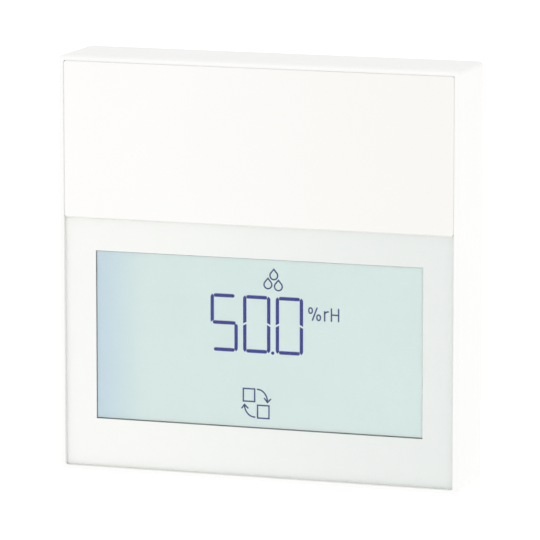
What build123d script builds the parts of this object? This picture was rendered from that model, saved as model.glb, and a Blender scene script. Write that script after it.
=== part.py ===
from build123d import *
import os

# Wall-mounted room humidity sensor, in millimetres.
# X runs to the right and Z up as seen from the room, and the wall is the plane Y = 0.
# A depth is a distance out from the wall, along -Y. The origin is midway between the wall screws.

# Housing
housing_width = 99.0
housing_height = 100.0
corner_radius = 1.2
front_edge_chamfer = 0.4
side_wall = 1.8
front_wall = 1.5
wall_gap = 0.6
rim_width = 1.2
panel_gap = 0.15
panel_corner_radius = 0.5
panel_edge_chamfer = 0.15
divide_height = 11.25
divide_gap = 0.25

# Front panels and display window
lens_thickness = 0.8
clear_bond = 0.05
mask_thickness = 0.2
adhesive_thickness = 0.2
adhesive_inset = 0.8
window_side_margin = 7.55
window_top_margin = 7.7
window_bottom_margin = 11.45
peg_size = 2.4
peg_inset = 6.0
peg_tip_gap = 0.3

# Display cell and backlight
lcd_border = 1.7
ledge_cover = 0.8
lcd_clearance = 0.3
lcd_air_gap = 0.1
glass_thickness = 1.1
polariser_thickness = 0.2
polariser_inset = 0.8
contact_ledge = 2.6
contact_strip_thickness = 2.0
film_thickness = 0.2
light_guide_thickness = 2.5
led_strip_width = 2.2
led_strip_thickness = 0.4
led_count = 6
led_size = 1.6
led_length = 3.0
holder_wall = 1.8
holder_peg_size = 1.4
holder_peg_proud = 0.4
strip_clearance = 0.05

# Boards
board_thickness = 1.6
board_standoff = 2.0
board_edge_gap = 0.6
terminal_board_gap = 0.825
board_tongue_width = 5.4
board_tongue_end = 4.8
isolation_notch = 1.2
display_board_side_gap = 2.7
display_board_margin = 0.5
corner_tab_width = 9.0
hook_width = 5.0
hook_wall = 1.4
hook_tip = 1.0
hook_reach = 0.8
hook_gap = 0.2
hook_side_gap = 5.5
display_hook_spacing = 30.0
board_post_size = 3.0

# Screws
screw_radius = 1.0
screw_head_radius = 2.0
screw_head_height = 1.4
screw_length = 5.0
screw_slot_width = 0.6
screw_slot_depth = 0.7
boss_wall = 1.4
boss_inset = 3.4

# Back plate
plate_clearance = 0.3
plate_floor = 2.0
relief_depth = 0.7
relief_margin = 4.0
relief_rib = 1.6
relief_land = 2.0
upstand_inset = 1.0
upstand_wall = 1.4
upstand_height = 2.0
wall_screw_spacing = 60.0
wall_slot_length = 8.0
wall_slot_width = 4.2
slot_pad_margin = 3.0
slot_pad_height = 0.8
cable_opening_width = 34.0
cable_opening_height = 16.0
cable_opening_centre = -5.0
cable_opening_radius = 3.0
cable_lip = 1.2

# Snap fit between back plate and cover
snap_spacing = 60.0
snap_arm_width = 8.0
snap_arm_thickness = 1.6
snap_ledge_depth = 5.0
snap_ledge_thickness = 1.5
snap_ledge_overhang = 1.1
snap_hook_bite = 0.7
snap_hook_land = 0.6
snap_hook_ramp = 1.9
snap_clearance = 0.2
release_hole_width = 5.0
release_hole_height = 2.0

# Air vents in the cover's bottom wall
vent_count = 9
vent_pitch = 5.0
vent_width = 2.0
vent_length = 8.0
vent_start = 4.6

# Terminal block
pole_count = 6
pole_pitch = 5.0
block_end_wall = 0.5
block_gap = 1.0
block_length = 9.0
block_floor = 0.8
entry_wall = 0.7
entry_lip = 0.4
cage_width = 3.9
cage_length = 5.0
cage_height = 5.0
cage_wall = 0.6
cage_top_wall = 1.0
cage_clearance = 0.15
cage_travel = 2.2
pin_thickness = 0.8
pin_clearance = 0.2
pin_tail_width = 1.6
pin_tail_length = 0.9
clamp_screw_radius = 1.25
clamp_head_radius = 1.75
clamp_head_height = 0.9
clamp_slot_width = 0.5
clamp_slot_depth = 0.5
thread_clearance = 0.05
access_hole_radius = 1.5
head_front_gap = 0.2
access_wall = 0.6
block_cover_gap = 1.65
block_chamfer_depth = 2.0
block_chamfer_height = 0.7

# Setting switch
slider_count = 4
slider_pitch = 2.54
slider_width = 1.2
slider_length = 1.6
slider_travel = 1.8
slider_clearance = 0.1
slider_seat = 0.05
slider_proud = 0.5
switch_height = 2.8
switch_end_wall = 1.2
switch_slot_depth = 1.4
switch_side_inset = 14.4
switch_rise = 8.0

# Header that joins the two boards
header_pin_count = 5
header_pitch = 2.0
header_pin_size = 0.5
header_wall = 0.65
header_hole_clearance = 0.1
header_side_inset = 9.7
header_rise = 11.0
socket_height = 2.9
header_gap = 0.1
header_base = 1.0
header_board_margin = 1.0

# Small components
package_lead_pitch = 1.27
package_lead_width = 0.4
package_lead_thickness = 0.2
package_standoff = 0.1
package_corner = 0.2
package_foot = 0.9
capacitor_radius = 4.0
capacitor_height = 9.0
capacitor_base = 0.9
capacitor_edge = 0.4
capacitor_x = -14.0
inductor_size = 10.0
inductor_height = 4.5
inductor_base = 1.0
inductor_corner = 2.0
regulator_width = 4.0
regulator_height = 5.0
regulator_thickness = 1.5
regulator_lead_count = 4
regulator_x = 13.0
driver_width = 7.5
driver_height = 10.4
driver_thickness = 2.3
driver_lead_count = 8
driver_x = -25.0
controller_width = 7.5
controller_height = 12.8
controller_thickness = 1.2
controller_lead_count = 10
controller_x = -10.0
sensor_size = 3.0
sensor_height = 1.0
sensor_port_size = 1.4
sensor_port_depth = 0.5
filter_wall = 0.5
filter_clearance = 0.2
filter_height = 2.0
filter_slot_width = 0.4
filter_slot_pitch = 0.9
filter_slot_count = 3

# Ribs behind the upper panel
rib_width = 1.0
rib_clearance = 0.3

# Widths and heights in the front view, worked out from the sizes above
cover_inner_width = housing_width - 2 * side_wall
cover_inner_height = housing_height - 2 * side_wall
recess_width = housing_width - 2 * rim_width
recess_height = housing_height - 2 * rim_width
panel_width = recess_width - 2 * panel_gap
panel_top = recess_height / 2 - panel_gap
lower_panel_top = divide_height - divide_gap / 2
lower_panel_height = lower_panel_top + panel_top
lower_panel_centre = (lower_panel_top - panel_top) / 2
upper_panel_bottom = divide_height + divide_gap / 2
upper_panel_height = panel_top - upper_panel_bottom
upper_panel_centre = (panel_top + upper_panel_bottom) / 2
window_width = panel_width - 2 * window_side_margin
window_height = lower_panel_height - window_top_margin - window_bottom_margin
window_centre = lower_panel_top - window_top_margin - window_height / 2
lcd_width = window_width + 2 * lcd_border
lcd_bottom = window_centre - window_height / 2 - ledge_cover - contact_ledge
lcd_top = window_centre + window_height / 2 + lcd_border
lcd_height = lcd_top - lcd_bottom
lcd_centre = (lcd_top + lcd_bottom) / 2
aperture_width = lcd_width + 2 * lcd_clearance
aperture_height = lcd_height + 2 * lcd_clearance
holder_width = aperture_width + 2 * holder_wall
holder_height = aperture_height + 2 * holder_wall
holder_top = lcd_centre + holder_height / 2
holder_bottom = lcd_centre - holder_height / 2
board_bottom = holder_top + terminal_board_gap
plate_width = cover_inner_width - 2 * plate_clearance
plate_height = cover_inner_height - 2 * plate_clearance
boss_radius = screw_radius + boss_wall
arm_outer = plate_height / 2 - upstand_inset
board_side = plate_width / 2 - upstand_inset - upstand_wall - board_edge_gap
board_top = arm_outer - snap_arm_thickness - board_edge_gap
board_tongue_centre = board_side - board_tongue_width / 2
board_tongue_bottom = board_tongue_end - arm_outer
display_board_side = cover_inner_width / 2 - display_board_side_gap
display_screw_x = display_board_side - boss_inset
display_screw_top = holder_top + boss_radius + lcd_clearance
display_board_bottom = holder_bottom - display_board_margin
switch_centre_x = board_side - switch_side_inset
header_x = header_side_inset - cover_inner_width / 2
header_z = board_bottom + header_rise
header_length = header_pin_count * header_pitch + 2 * header_hole_clearance
header_body_width = 2 * header_pitch + header_wall
block_width = pole_count * pole_pitch + 2 * block_end_wall
block_entry = board_bottom + block_gap
block_back = block_entry + block_length
component_row = (block_back + board_top) / 2
hook_x = block_width / 2 + hook_side_gap
sensor_z = board_tongue_bottom + sensor_size

# Depths, from the wall out through the terminal block to the front of the panels
upstand_front = plate_floor + upstand_height
board_back = plate_floor + board_standoff
board_front = board_back + board_thickness
cavity_floor = board_front + block_floor
cage_back = cavity_floor + pin_clearance
cage_front = cage_back + cage_height
pin_front = cage_front - cage_top_wall - pin_clearance
pin_back = pin_front - pin_thickness
cavity_top = cage_front + cage_travel + thread_clearance
clamp_head_back = cavity_top + thread_clearance
access_back = clamp_head_back + clamp_head_height + head_front_gap
block_front = access_back + access_wall
switch_front = board_front + switch_height
socket_front = board_front + socket_height
display_board_back = socket_front + header_gap + header_base
display_board_front = display_board_back + board_thickness
wall_back = block_front + block_cover_gap
wall_front = wall_back + front_wall
mask_back = wall_front + adhesive_thickness
mask_front = mask_back + mask_thickness
lens_back = mask_front + clear_bond
housing_depth = lens_back + lens_thickness

# Depths, from the cover's front wall back through the display
polariser_front = wall_front - lcd_air_gap
front_glass_front = polariser_front - polariser_thickness
front_glass_back = front_glass_front - glass_thickness
rear_glass_back = front_glass_back - glass_thickness
rear_polariser_back = rear_glass_back - polariser_thickness
diffuser_back = rear_polariser_back - film_thickness
light_guide_back = diffuser_back - light_guide_thickness
reflector_back = light_guide_back - film_thickness

# Heights inside the terminal block
cage_entry = block_entry + entry_wall + cage_clearance
cage_centre = cage_entry + cage_length / 2
cavity_end = cage_entry + cage_length + cage_clearance


def at_depth(depth):
    """The plane parallel to the wall at this depth, seen from the room: local X right, local Y up."""
    return Plane(origin=(0, -depth, 0), x_dir=(1, 0, 0), z_dir=(0, -1, 0))


def slab(outline, back, front):
    """An outline of the front view, raised from one depth to another."""
    return extrude(at_depth(back) * outline, amount=front - back)


def side_profile(points, width, centre_x):
    """An outline given as depth and height, carried across a width."""
    plane = Plane(origin=(centre_x - width / 2, 0, 0), x_dir=(0, -1, 0), z_dir=(-1, 0, 0))
    return extrude(plane * Polygon(*points, align=None), amount=width, dir=(1, 0, 0))


def rounded(width, height, radius, x=0.0, z=0.0):
    """A rectangle with round corners, centred on a point of the front view."""
    return Pos(x, z) * RectangleRounded(width, height, radius)


def block(width, height, x=0.0, z=0.0):
    """A plain rectangle, centred on a point of the front view."""
    return Pos(x, z) * Rectangle(width, height)


def disc(radius, x, z):
    """A circle at a point of the front view."""
    return Pos(x, z) * Circle(radius)


def joined(shapes):
    """Several bodies of one sub-part, or several outlines, as one."""
    total = shapes[0]
    for shape in shapes[1:]:
        total += shape
    return total


def pole_centres():
    """Where the poles of the terminal block stand, from left to right."""
    first = -(pole_count - 1) / 2 * pole_pitch
    return [first + pole * pole_pitch for pole in range(pole_count)]


def snap_centres():
    """The left and right places of the snap arms."""
    return [-snap_spacing / 2, snap_spacing / 2]


def board_screw_places():
    """The two screws that hold the terminal board's upper corners on the plate."""
    corner_x = board_side - boss_inset
    corner_z = board_top - boss_inset
    return [(-corner_x, corner_z), (corner_x, corner_z)]


def display_screw_places():
    """The two screws that hold the display board's upper corners in the cover."""
    return [(side * display_screw_x, display_screw_top) for side in (-1, 1)]


def board_post_places():
    """The plain posts under the terminal board: behind its lower hooks and its tongue's end."""
    edge = board_bottom + board_post_size / 2
    return [(-hook_x, edge), (hook_x, edge), (board_tongue_centre, sensor_z)]


def peg_places():
    """The locating pegs behind the upper panel."""
    x = panel_width / 2 - peg_inset
    z = upper_panel_height / 2 - peg_inset
    return [(side * x, upper_panel_centre + up * z) for side in (-1, 1) for up in (-1, 1)]


def header_places():
    """The two rows of pins that join the boards."""
    first = -(header_pin_count - 1) / 2 * header_pitch
    return [
        (header_x + side * header_pitch / 2, header_z + first + row * header_pitch)
        for side in (-1, 1)
        for row in range(header_pin_count)
    ]


def slider_centres():
    """Where the sliders of the setting switch stand, from left to right."""
    first = switch_centre_x - (slider_count - 1) / 2 * slider_pitch
    return [first + number * slider_pitch for number in range(slider_count)]


# Back plate and its snap fit


def wall_slots():
    """The two oblong holes for the wall screws."""
    slot = SlotOverall(wall_slot_length, wall_slot_width)
    return joined([Pos(side * wall_screw_spacing / 2, 0) * slot for side in (-1, 1)])


def wall_slot_pads():
    """The thickened flats under the heads of the wall screws."""
    width = wall_slot_length + 2 * slot_pad_margin
    height = wall_slot_width + 2 * slot_pad_margin
    return joined([block(width, height, side * wall_screw_spacing / 2) for side in (-1, 1)])


def cable_hole(margin):
    """The opening for the wall cable, grown by a margin."""
    width = cable_opening_width + 2 * margin
    height = cable_opening_height + 2 * margin
    return rounded(width, height, cable_opening_radius + margin, 0, cable_opening_centre)


def board_hook(x, root, face, edge):
    """A hook that stands on a moulding and reaches over a board's face at its lower edge."""
    sign = 1 if face > root else -1
    wall = edge - hook_gap
    lip = face + sign * hook_gap
    tip = lip + sign * hook_tip
    outline = [
        (root, wall - hook_wall),
        (tip, wall - hook_wall),
        (tip, edge + hook_reach),
        (lip, edge + hook_reach),
        (lip, wall),
        (root, wall),
    ]
    return side_profile(outline, hook_width, x)


def wall_relief():
    """The shallow fields in the plate's wall side, between its rim, its ribs and its lands."""
    field_width = plate_width - 2 * relief_margin
    field_height = plate_height - 2 * relief_margin
    field = block(field_width, field_height)
    field -= block(relief_rib, field_height) + block(field_width, relief_rib)
    field -= wall_slot_pads()
    land_width = cable_opening_width + 2 * relief_land
    land_height = cable_opening_height + 2 * relief_land
    field -= block(land_width, land_height, 0, cable_opening_centre)
    land = 2 * (boss_radius + relief_rib)
    for x, z in board_screw_places():
        field -= block(land, land, x, z)
    return slab(field, 0, relief_depth)


def back_plate():
    """Moulded plate: floor, upstand, board seats and hooks, cable lip, screw slots and wall relief."""
    corner = max(corner_radius - side_wall / 2, 0.5)
    plate = slab(rounded(plate_width, plate_height, corner), 0, plate_floor)
    upstand = block(plate_width - 2 * upstand_inset, plate_height - 2 * upstand_inset)
    inside = upstand_inset + upstand_wall
    upstand -= block(plate_width - 2 * inside, plate_height - 2 * inside)
    for x in snap_centres():
        upstand -= block(snap_arm_width + 2 * snap_clearance, plate_height, x)
    plate += slab(upstand, plate_floor, upstand_front)
    plate += slab(cable_hole(cable_lip), plate_floor, plate_floor + cable_lip)
    plate += slab(wall_slot_pads(), plate_floor, plate_floor + slot_pad_height)
    for x, z in board_screw_places():
        plate += slab(disc(boss_radius, x, z), plate_floor, board_back)
    for x, z in board_post_places():
        plate += slab(block(board_post_size, board_post_size, x, z), plate_floor, board_back)
    for side in (-1, 1):
        plate += board_hook(side * hook_x, plate_floor, board_front, board_bottom)
    plate -= slab(cable_hole(0), 0, plate_floor + cable_lip)
    plate -= slab(wall_slots(), 0, plate_floor + slot_pad_height)
    for x, z in board_screw_places():
        hole = disc(screw_radius + thread_clearance, x, z)
        plate -= slab(hole, plate_floor / 2, board_back)
    return plate - wall_relief()


def snap_arms():
    """Four spring arms on the plate, each with a hook in front of the cover's ledge."""
    hook_back = snap_ledge_depth + snap_ledge_thickness + snap_clearance
    hook_outer = cover_inner_height / 2 - snap_ledge_overhang + snap_hook_bite
    tip = hook_back + snap_hook_land + snap_hook_ramp
    arm_inner = arm_outer - snap_arm_thickness
    outline = [
        (plate_floor, arm_inner),
        (plate_floor, arm_outer),
        (hook_back, arm_outer),
        (hook_back, hook_outer),
        (hook_back + snap_hook_land, hook_outer),
        (tip, arm_outer - snap_arm_thickness / 3),
        (tip, arm_inner),
    ]
    upper = [side_profile(outline, snap_arm_width, x) for x in snap_centres()]
    return joined(upper + [mirror(arm, Plane.XY) for arm in upper])


# Boards and screws


def terminal_board():
    """Circuit board on the plate, with a narrow tongue that keeps the sensing element cool."""
    outline = block(2 * board_side, board_top - board_bottom, 0, (board_top + board_bottom) / 2)
    tongue_height = board_bottom - board_tongue_bottom
    tongue_middle = board_bottom - tongue_height / 2
    outline += block(board_tongue_width, tongue_height, board_tongue_centre, tongue_middle)
    notch_z = sensor_z + 2 * sensor_size
    for side in (-1, 1):
        edge = board_tongue_centre + side * board_tongue_width / 2
        outline -= block(2 * isolation_notch, isolation_notch, edge, notch_z)
    for x, z in board_screw_places():
        outline -= disc(screw_radius + header_hole_clearance, x, z)
    tail_width = pin_tail_width + 2 * pin_clearance
    tail_height = pin_thickness + 2 * pin_clearance
    for x in pole_centres():
        outline -= block(tail_width, tail_height, x, tail_centre())
    return slab(outline, board_back, board_front)


def screw(x, z, seat, into):
    """A pan-head screw whose head seats at one depth, with its shank running towards another side."""
    sign = 1 if into > seat else -1
    head_end = seat - sign * screw_head_height
    head = slab(disc(screw_head_radius, x, z), min(seat, head_end), max(seat, head_end))
    shank = slab(disc(screw_radius, x, z), min(seat, into), max(seat, into))
    slot_end = head_end + sign * screw_slot_depth
    groove = block(2 * screw_head_radius, screw_slot_width, x, z)
    return head + shank - slab(groove, min(head_end, slot_end), max(head_end, slot_end))


def board_screws():
    """The screws through the terminal board into the plate's bosses."""
    tip = plate_floor / 2 + thread_clearance
    return joined([screw(x, z, board_front, tip) for x, z in board_screw_places()])


def display_screws():
    """The screws through the display board into the cover's bosses."""
    tip = display_board_front + screw_length - thread_clearance
    return joined([screw(x, z, display_board_back, tip) for x, z in display_screw_places()])


def display_board_outline():
    """The display board: a main field, a tab at each screw and a tongue for the header."""
    top = holder_top + display_board_margin
    bottom = display_board_bottom
    outline = block(2 * display_board_side, top - bottom, 0, (top + bottom) / 2)
    reach = display_screw_top + boss_radius - top
    tab_x = display_board_side - corner_tab_width / 2
    for side in (-1, 1):
        outline += block(corner_tab_width, reach, side * tab_x, top + reach / 2)
    tongue_right = header_x + header_body_width
    tongue_width = tongue_right + display_board_side
    tongue_top = header_z + header_length / 2 + header_board_margin
    tongue_centre = (tongue_right - display_board_side) / 2
    outline += block(tongue_width, tongue_top - top, tongue_centre, (tongue_top + top) / 2)
    return outline


def display_board():
    """Circuit board behind the display, with its screw, peg and pin holes."""
    outline = display_board_outline()
    for x, z in display_screw_places():
        outline -= disc(screw_radius + header_hole_clearance, x, z)
    peg_hole = holder_peg_size + 2 * header_hole_clearance
    for x, z in holder_peg_places():
        outline -= block(peg_hole, peg_hole, x, z)
    for x, z in header_places():
        hole = header_pin_size + 2 * header_hole_clearance
        outline -= block(hole, hole, x, z)
    return slab(outline, display_board_back, display_board_front)


# Terminal block


def tail_centre():
    """The height at which the solder tails leave the terminal block."""
    return cavity_end + pin_clearance + pin_thickness / 2


def terminal_block():
    """Housing of the wire clamps: a stepped profile with a cavity, a wire entry and an access hole a pole."""
    outline = [
        (board_front, block_entry),
        (block_front - block_chamfer_depth, block_entry),
        (block_front, block_entry + block_chamfer_height),
        (block_front, block_back - 2 * block_chamfer_height),
        (block_front - block_chamfer_depth, block_back),
        (board_front, block_back),
    ]
    housing = side_profile(outline, block_width, 0)
    cage_space = cage_width + 2 * cage_clearance
    cavity_start = cage_entry - cage_clearance
    cavity_length = cavity_end - cavity_start
    entry_width = cage_space - 2 * entry_lip
    pocket_size = 2 * (clamp_head_radius + cage_clearance)
    entry_middle = (block_entry + cavity_start) / 2
    tail_width = pin_tail_width + 2 * pin_clearance
    tail_length = pin_thickness + 2 * pin_clearance
    for x in pole_centres():
        cavity = block(cage_space, cavity_length, x, cavity_start + cavity_length / 2)
        housing -= slab(cavity, cavity_floor, cavity_top)
        entry = block(entry_width, cavity_start - block_entry, x, entry_middle)
        housing -= slab(entry, cage_back + cage_wall, pin_back)
        head_pocket = block(pocket_size, pocket_size, x, cage_centre)
        housing -= slab(head_pocket, cavity_top, access_back)
        housing -= slab(disc(access_hole_radius, x, cage_centre), access_back, block_front)
        tail = block(tail_width, tail_length, x, cavity_end + tail_length / 2)
        housing -= slab(tail, board_front, pin_front + pin_clearance)
    return housing


def terminal_pins():
    """Six bent blades: each lies through its cage and turns down through the board."""
    blade_start = cage_entry + cage_clearance
    tail_outer = tail_centre() + pin_thickness / 2
    tail_inner = tail_centre() - pin_thickness / 2
    outline = [
        (pin_front, blade_start),
        (pin_front, tail_outer),
        (board_back - pin_tail_length, tail_outer),
        (board_back - pin_tail_length, tail_inner),
        (pin_back, tail_inner),
        (pin_back, blade_start),
    ]
    return joined([side_profile(outline, pin_tail_width, x) for x in pole_centres()])


def clamp_cage(x):
    """A square frame of folded strip that rises to press the wire on the blade."""
    frame = slab(block(cage_width, cage_length, x, cage_centre), cage_back, cage_front)
    opening = block(cage_width - 2 * cage_wall, cage_length, x, cage_centre)
    frame -= slab(opening, cage_back + cage_wall, cage_front - cage_top_wall)
    thread = disc(clamp_screw_radius + thread_clearance, x, cage_centre)
    return frame - slab(thread, cage_front - cage_top_wall, cage_front)


def clamp_screw(x):
    """The captive screw of one pole: its head turns in the housing and its tip bears on the blade."""
    tip = pin_front + thread_clearance
    head_front = clamp_head_back + clamp_head_height
    shank = slab(disc(clamp_screw_radius, x, cage_centre), tip, clamp_head_back)
    shank += slab(disc(clamp_head_radius, x, cage_centre), clamp_head_back, head_front)
    groove = block(2 * clamp_head_radius, clamp_slot_width, x, cage_centre)
    return shank - slab(groove, head_front - clamp_slot_depth, head_front)


# Setting switch and header


def switch_slot_length():
    """Room for one slider and its travel."""
    return slider_length + slider_travel + 2 * slider_clearance


def switch_z():
    """The height of the setting switch's centre."""
    return block_back + switch_rise


def dip_switch_body():
    """The body of the setting switch, with one slot a slider."""
    width = (slider_count - 1) * slider_pitch + slider_width + 2 * switch_end_wall + 2 * slider_clearance
    height = switch_slot_length() + 2 * switch_end_wall
    body = slab(block(width, height, switch_centre_x, switch_z()), board_front, switch_front)
    for x in slider_centres():
        slot = block(slider_width + 2 * slider_clearance, switch_slot_length(), x, switch_z())
        body -= slab(slot, switch_front - switch_slot_depth, switch_front)
    return body


def dip_slider(x):
    """One slider, at the low end of its slot."""
    z = switch_z() - slider_travel / 2
    seat = switch_front - switch_slot_depth + slider_seat
    slider = slab(block(slider_width, slider_length, x, z), seat, switch_front + slider_proud)
    return chamfer(slider.faces().sort_by(Axis.Y)[0].edges(), slider_proud / 3)


def socket_header():
    """The socket on the terminal board, with its two rows of square holes."""
    outline = block(header_body_width, header_length, header_x, header_z)
    hole = header_pin_size + 2 * header_hole_clearance
    body = slab(outline, board_front, socket_front)
    holes = joined([block(hole, hole, x, z) for x, z in header_places()])
    return body - slab(holes, board_front + header_hole_clearance, socket_front)


def pin_header():
    """The header on the display board: its insulator and ten square pins."""
    outline = block(header_body_width, header_length, header_x, header_z)
    body = slab(outline, socket_front + header_gap, display_board_back)
    pins = joined([block(header_pin_size, header_pin_size, x, z) for x, z in header_places()])
    tip = board_front + 3 * header_hole_clearance
    return body + slab(pins, tip, display_board_front + header_pin_size)


# Small components


def between(start, end, outline):
    """An outline raised between two depths given in either order."""
    return slab(outline, min(start, end), max(start, end))


def small_package(x, z, width, height, thickness, leads, seat, sign):
    """A moulded chip with feet along two sides, standing out of a board's face at one depth."""
    near = seat + sign * package_standoff
    body = between(near, near + sign * thickness, block(width, height, x, z))
    body = chamfer(body.edges().filter_by(Axis.Y), package_corner)
    row_length = (leads - 1) * package_lead_pitch
    row = [z - row_length / 2 + lead * package_lead_pitch for lead in range(leads)]
    foot_width = width + 2 * package_foot
    feet = joined([block(foot_width, package_lead_width, x, lead_z) for lead_z in row])
    return body + between(seat, seat + sign * package_lead_thickness, feet)


def supply_capacitor():
    """Can capacitor: a can with a broken upper edge on a square base."""
    base = block(2 * capacitor_radius, 2 * capacitor_radius, capacitor_x, component_row)
    base_front = board_front + capacitor_base
    can = slab(disc(capacitor_radius, capacitor_x, component_row), base_front, base_front + capacitor_height)
    can = chamfer(can.faces().sort_by(Axis.Y)[0].edges(), capacitor_edge)
    return can + slab(base, board_front, base_front)


def supply_inductor():
    """Shielded choke: a ferrite with cut corners on a square base."""
    outline = block(inductor_size, inductor_size, 0, component_row)
    base = slab(outline, board_front, board_front + inductor_base)
    body = slab(outline, board_front + inductor_base, board_front + inductor_height)
    return base + chamfer(body.edges().filter_by(Axis.Y), inductor_corner)


def regulator():
    """The voltage regulator on the terminal board."""
    size = (regulator_width, regulator_height, regulator_thickness)
    return small_package(regulator_x, component_row, *size, regulator_lead_count, board_front, 1)


def output_driver():
    """The driver of the output signal on the terminal board."""
    size = (driver_width, driver_height, driver_thickness)
    return small_package(driver_x, component_row, *size, driver_lead_count, board_front, 1)


def microcontroller():
    """The controller on the back of the display board."""
    size = (controller_width, controller_height, controller_thickness)
    place = (controller_x, window_centre)
    return small_package(*place, *size, controller_lead_count, display_board_back, -1)


def humidity_sensor():
    """The sensing element at the end of the board's tongue, with its port."""
    front = board_front + sensor_height
    part = slab(block(sensor_size, sensor_size, board_tongue_centre, sensor_z), board_front, front)
    port = block(sensor_port_size, sensor_port_size, board_tongue_centre, sensor_z)
    return part - slab(port, front - sensor_port_depth, front)


def sensor_filter_cap():
    """The cap that keeps dust off the sensing element, with its breathing slots."""
    inner = sensor_size + 2 * filter_clearance
    outer = inner + 2 * filter_wall
    front = board_front + filter_height
    cap = slab(block(outer, outer, board_tongue_centre, sensor_z), board_front, front)
    cap -= slab(block(inner, inner, board_tongue_centre, sensor_z), board_front, front - filter_wall)
    places = GridLocations(0, filter_slot_pitch, 1, filter_slot_count)
    slots = [place * block(inner, filter_slot_width) for place in places]
    return cap - slab(Pos(board_tongue_centre, sensor_z) * joined(slots), front - filter_wall, front)


# Front cover


def cover_shell():
    """Moulded cover: walls, recess for the panels, display aperture, bosses, hooks, ledges and vents."""
    outline = rounded(housing_width, housing_height, corner_radius)
    shell = slab(outline, wall_gap, housing_depth)
    shell = chamfer(shell.faces().sort_by(Axis.Y)[0].edges(), front_edge_chamfer)
    inner_corner = max(corner_radius - side_wall / 2, 0.5)
    shell -= slab(rounded(cover_inner_width, cover_inner_height, inner_corner), wall_gap, wall_back)
    recess = rounded(recess_width, recess_height, panel_corner_radius + panel_gap)
    shell -= slab(recess, wall_front, housing_depth)
    aperture = block(aperture_width, aperture_height, 0, lcd_centre)
    shell -= slab(aperture, wall_back, wall_front)
    peg_hole = peg_size + 2 * thread_clearance
    for x, z in peg_places():
        shell -= slab(block(peg_hole, peg_hole, x, z), wall_back, wall_front)
    shell += cover_ribs()
    shell += cover_bosses()
    for side in (-1, 1):
        hook_place = side * display_hook_spacing / 2
        shell += board_hook(hook_place, wall_back, display_board_back, display_board_bottom)
        for x in snap_centres():
            shell += snap_ledge(x, side)
    for x in snap_centres():
        shell -= release_hole(x)
    return shell - vents()


def cover_ribs():
    """Stiffening ribs behind the blank upper panel, in the room that the terminals leave."""
    low = display_screw_top + 2 * boss_radius
    high = cover_inner_height / 2
    ribs = [block(rib_width, high - low, x, (high + low) / 2) for x in snap_centres()]
    ribs.append(block(snap_spacing, rib_width, 0, (component_row + board_top) / 2))
    return slab(joined(ribs), block_front + rib_clearance, wall_back)


def cover_bosses():
    """The two bosses that the display board is screwed to."""
    outline = joined([disc(boss_radius, x, z) for x, z in display_screw_places()])
    pilots = joined([disc(screw_radius + thread_clearance, x, z) for x, z in display_screw_places()])
    pilot_end = display_board_front + screw_length
    return slab(outline, display_board_front, wall_back) - slab(pilots, display_board_front, pilot_end)


def snap_ledge(x, side):
    """A ledge inside the top or bottom wall that a hook catches."""
    wall = cover_inner_height / 2
    back = snap_ledge_depth
    front = snap_ledge_depth + snap_ledge_thickness
    outline = [
        (back, side * wall),
        (back + snap_ledge_thickness / 3, side * (wall - snap_ledge_overhang)),
        (front, side * (wall - snap_ledge_overhang)),
        (front, side * wall),
    ]
    return side_profile(outline, snap_arm_width + 2 * snap_clearance, x)


def release_hole(x):
    """A small hole in the bottom wall, in front of a hook, for the tool that frees it."""
    start = snap_ledge_depth + snap_ledge_thickness + snap_clearance
    bottom = Plane(origin=(x, -start - release_hole_height / 2, -housing_height / 2))
    return extrude(bottom * Rectangle(release_hole_width, release_hole_height), amount=side_wall)


def vents():
    """The row of slots in the bottom wall that lets room air in to the sensing element."""
    bottom = Plane(origin=(0, -vent_start - vent_length / 2, -housing_height / 2))
    slot = Rectangle(vent_width, vent_length)
    row = [place * slot for place in GridLocations(vent_pitch, 0, vent_count, 1)]
    return extrude(bottom * joined(row), amount=side_wall)


def edged_panel(width, height, centre, back):
    """A flat panel whose front edges are broken by a fine chamfer."""
    panel = slab(rounded(width, height, panel_corner_radius, 0, centre), back, housing_depth)
    return chamfer(panel.faces().sort_by(Axis.Y)[0].edges(), panel_edge_chamfer)


def upper_panel():
    """The blank upper panel, with four pegs that locate it in the cover."""
    back = wall_front + adhesive_thickness
    panel = edged_panel(panel_width, upper_panel_height, upper_panel_centre, back)
    for x, z in peg_places():
        panel += slab(block(peg_size, peg_size, x, z), wall_back + peg_tip_gap, back)
    return panel


def panel_adhesive():
    """The tape that bonds the upper panel."""
    width = panel_width - 2 * adhesive_inset
    height = upper_panel_height - 2 * adhesive_inset
    sheet = block(width, height, 0, upper_panel_centre)
    peg_hole = peg_size + 2 * lcd_clearance
    for x, z in peg_places():
        sheet -= block(peg_hole, peg_hole, x, z)
    return slab(sheet, wall_front, wall_front + adhesive_thickness)


def display_lens():
    """The clear lower panel."""
    return edged_panel(panel_width, lower_panel_height, lower_panel_centre, lens_back)


def mask_film():
    """The printed film behind the lens and its clear bond, open only at the window."""
    film = rounded(panel_width, lower_panel_height, panel_corner_radius, 0, lower_panel_centre)
    film -= block(window_width, window_height, 0, window_centre)
    return slab(film, mask_back, mask_front)


def lens_adhesive():
    """The frame of tape between the printed film and the cover."""
    width = panel_width - 2 * adhesive_inset
    height = lower_panel_height - 2 * adhesive_inset
    frame = block(width, height, 0, lower_panel_centre)
    frame -= block(aperture_width, aperture_height, 0, lcd_centre)
    return slab(frame, wall_front, mask_back)


def touch_film():
    """The clear touch layer on the back of the printed film."""
    return slab(block(lcd_width, lcd_height, 0, lcd_centre), wall_front, mask_back)


def lcd_front_polariser():
    """The polariser on the front glass."""
    width = lcd_width - 2 * polariser_inset
    height = lcd_height - 2 * polariser_inset
    return slab(block(width, height, 0, lcd_centre), front_glass_front, polariser_front)


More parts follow.
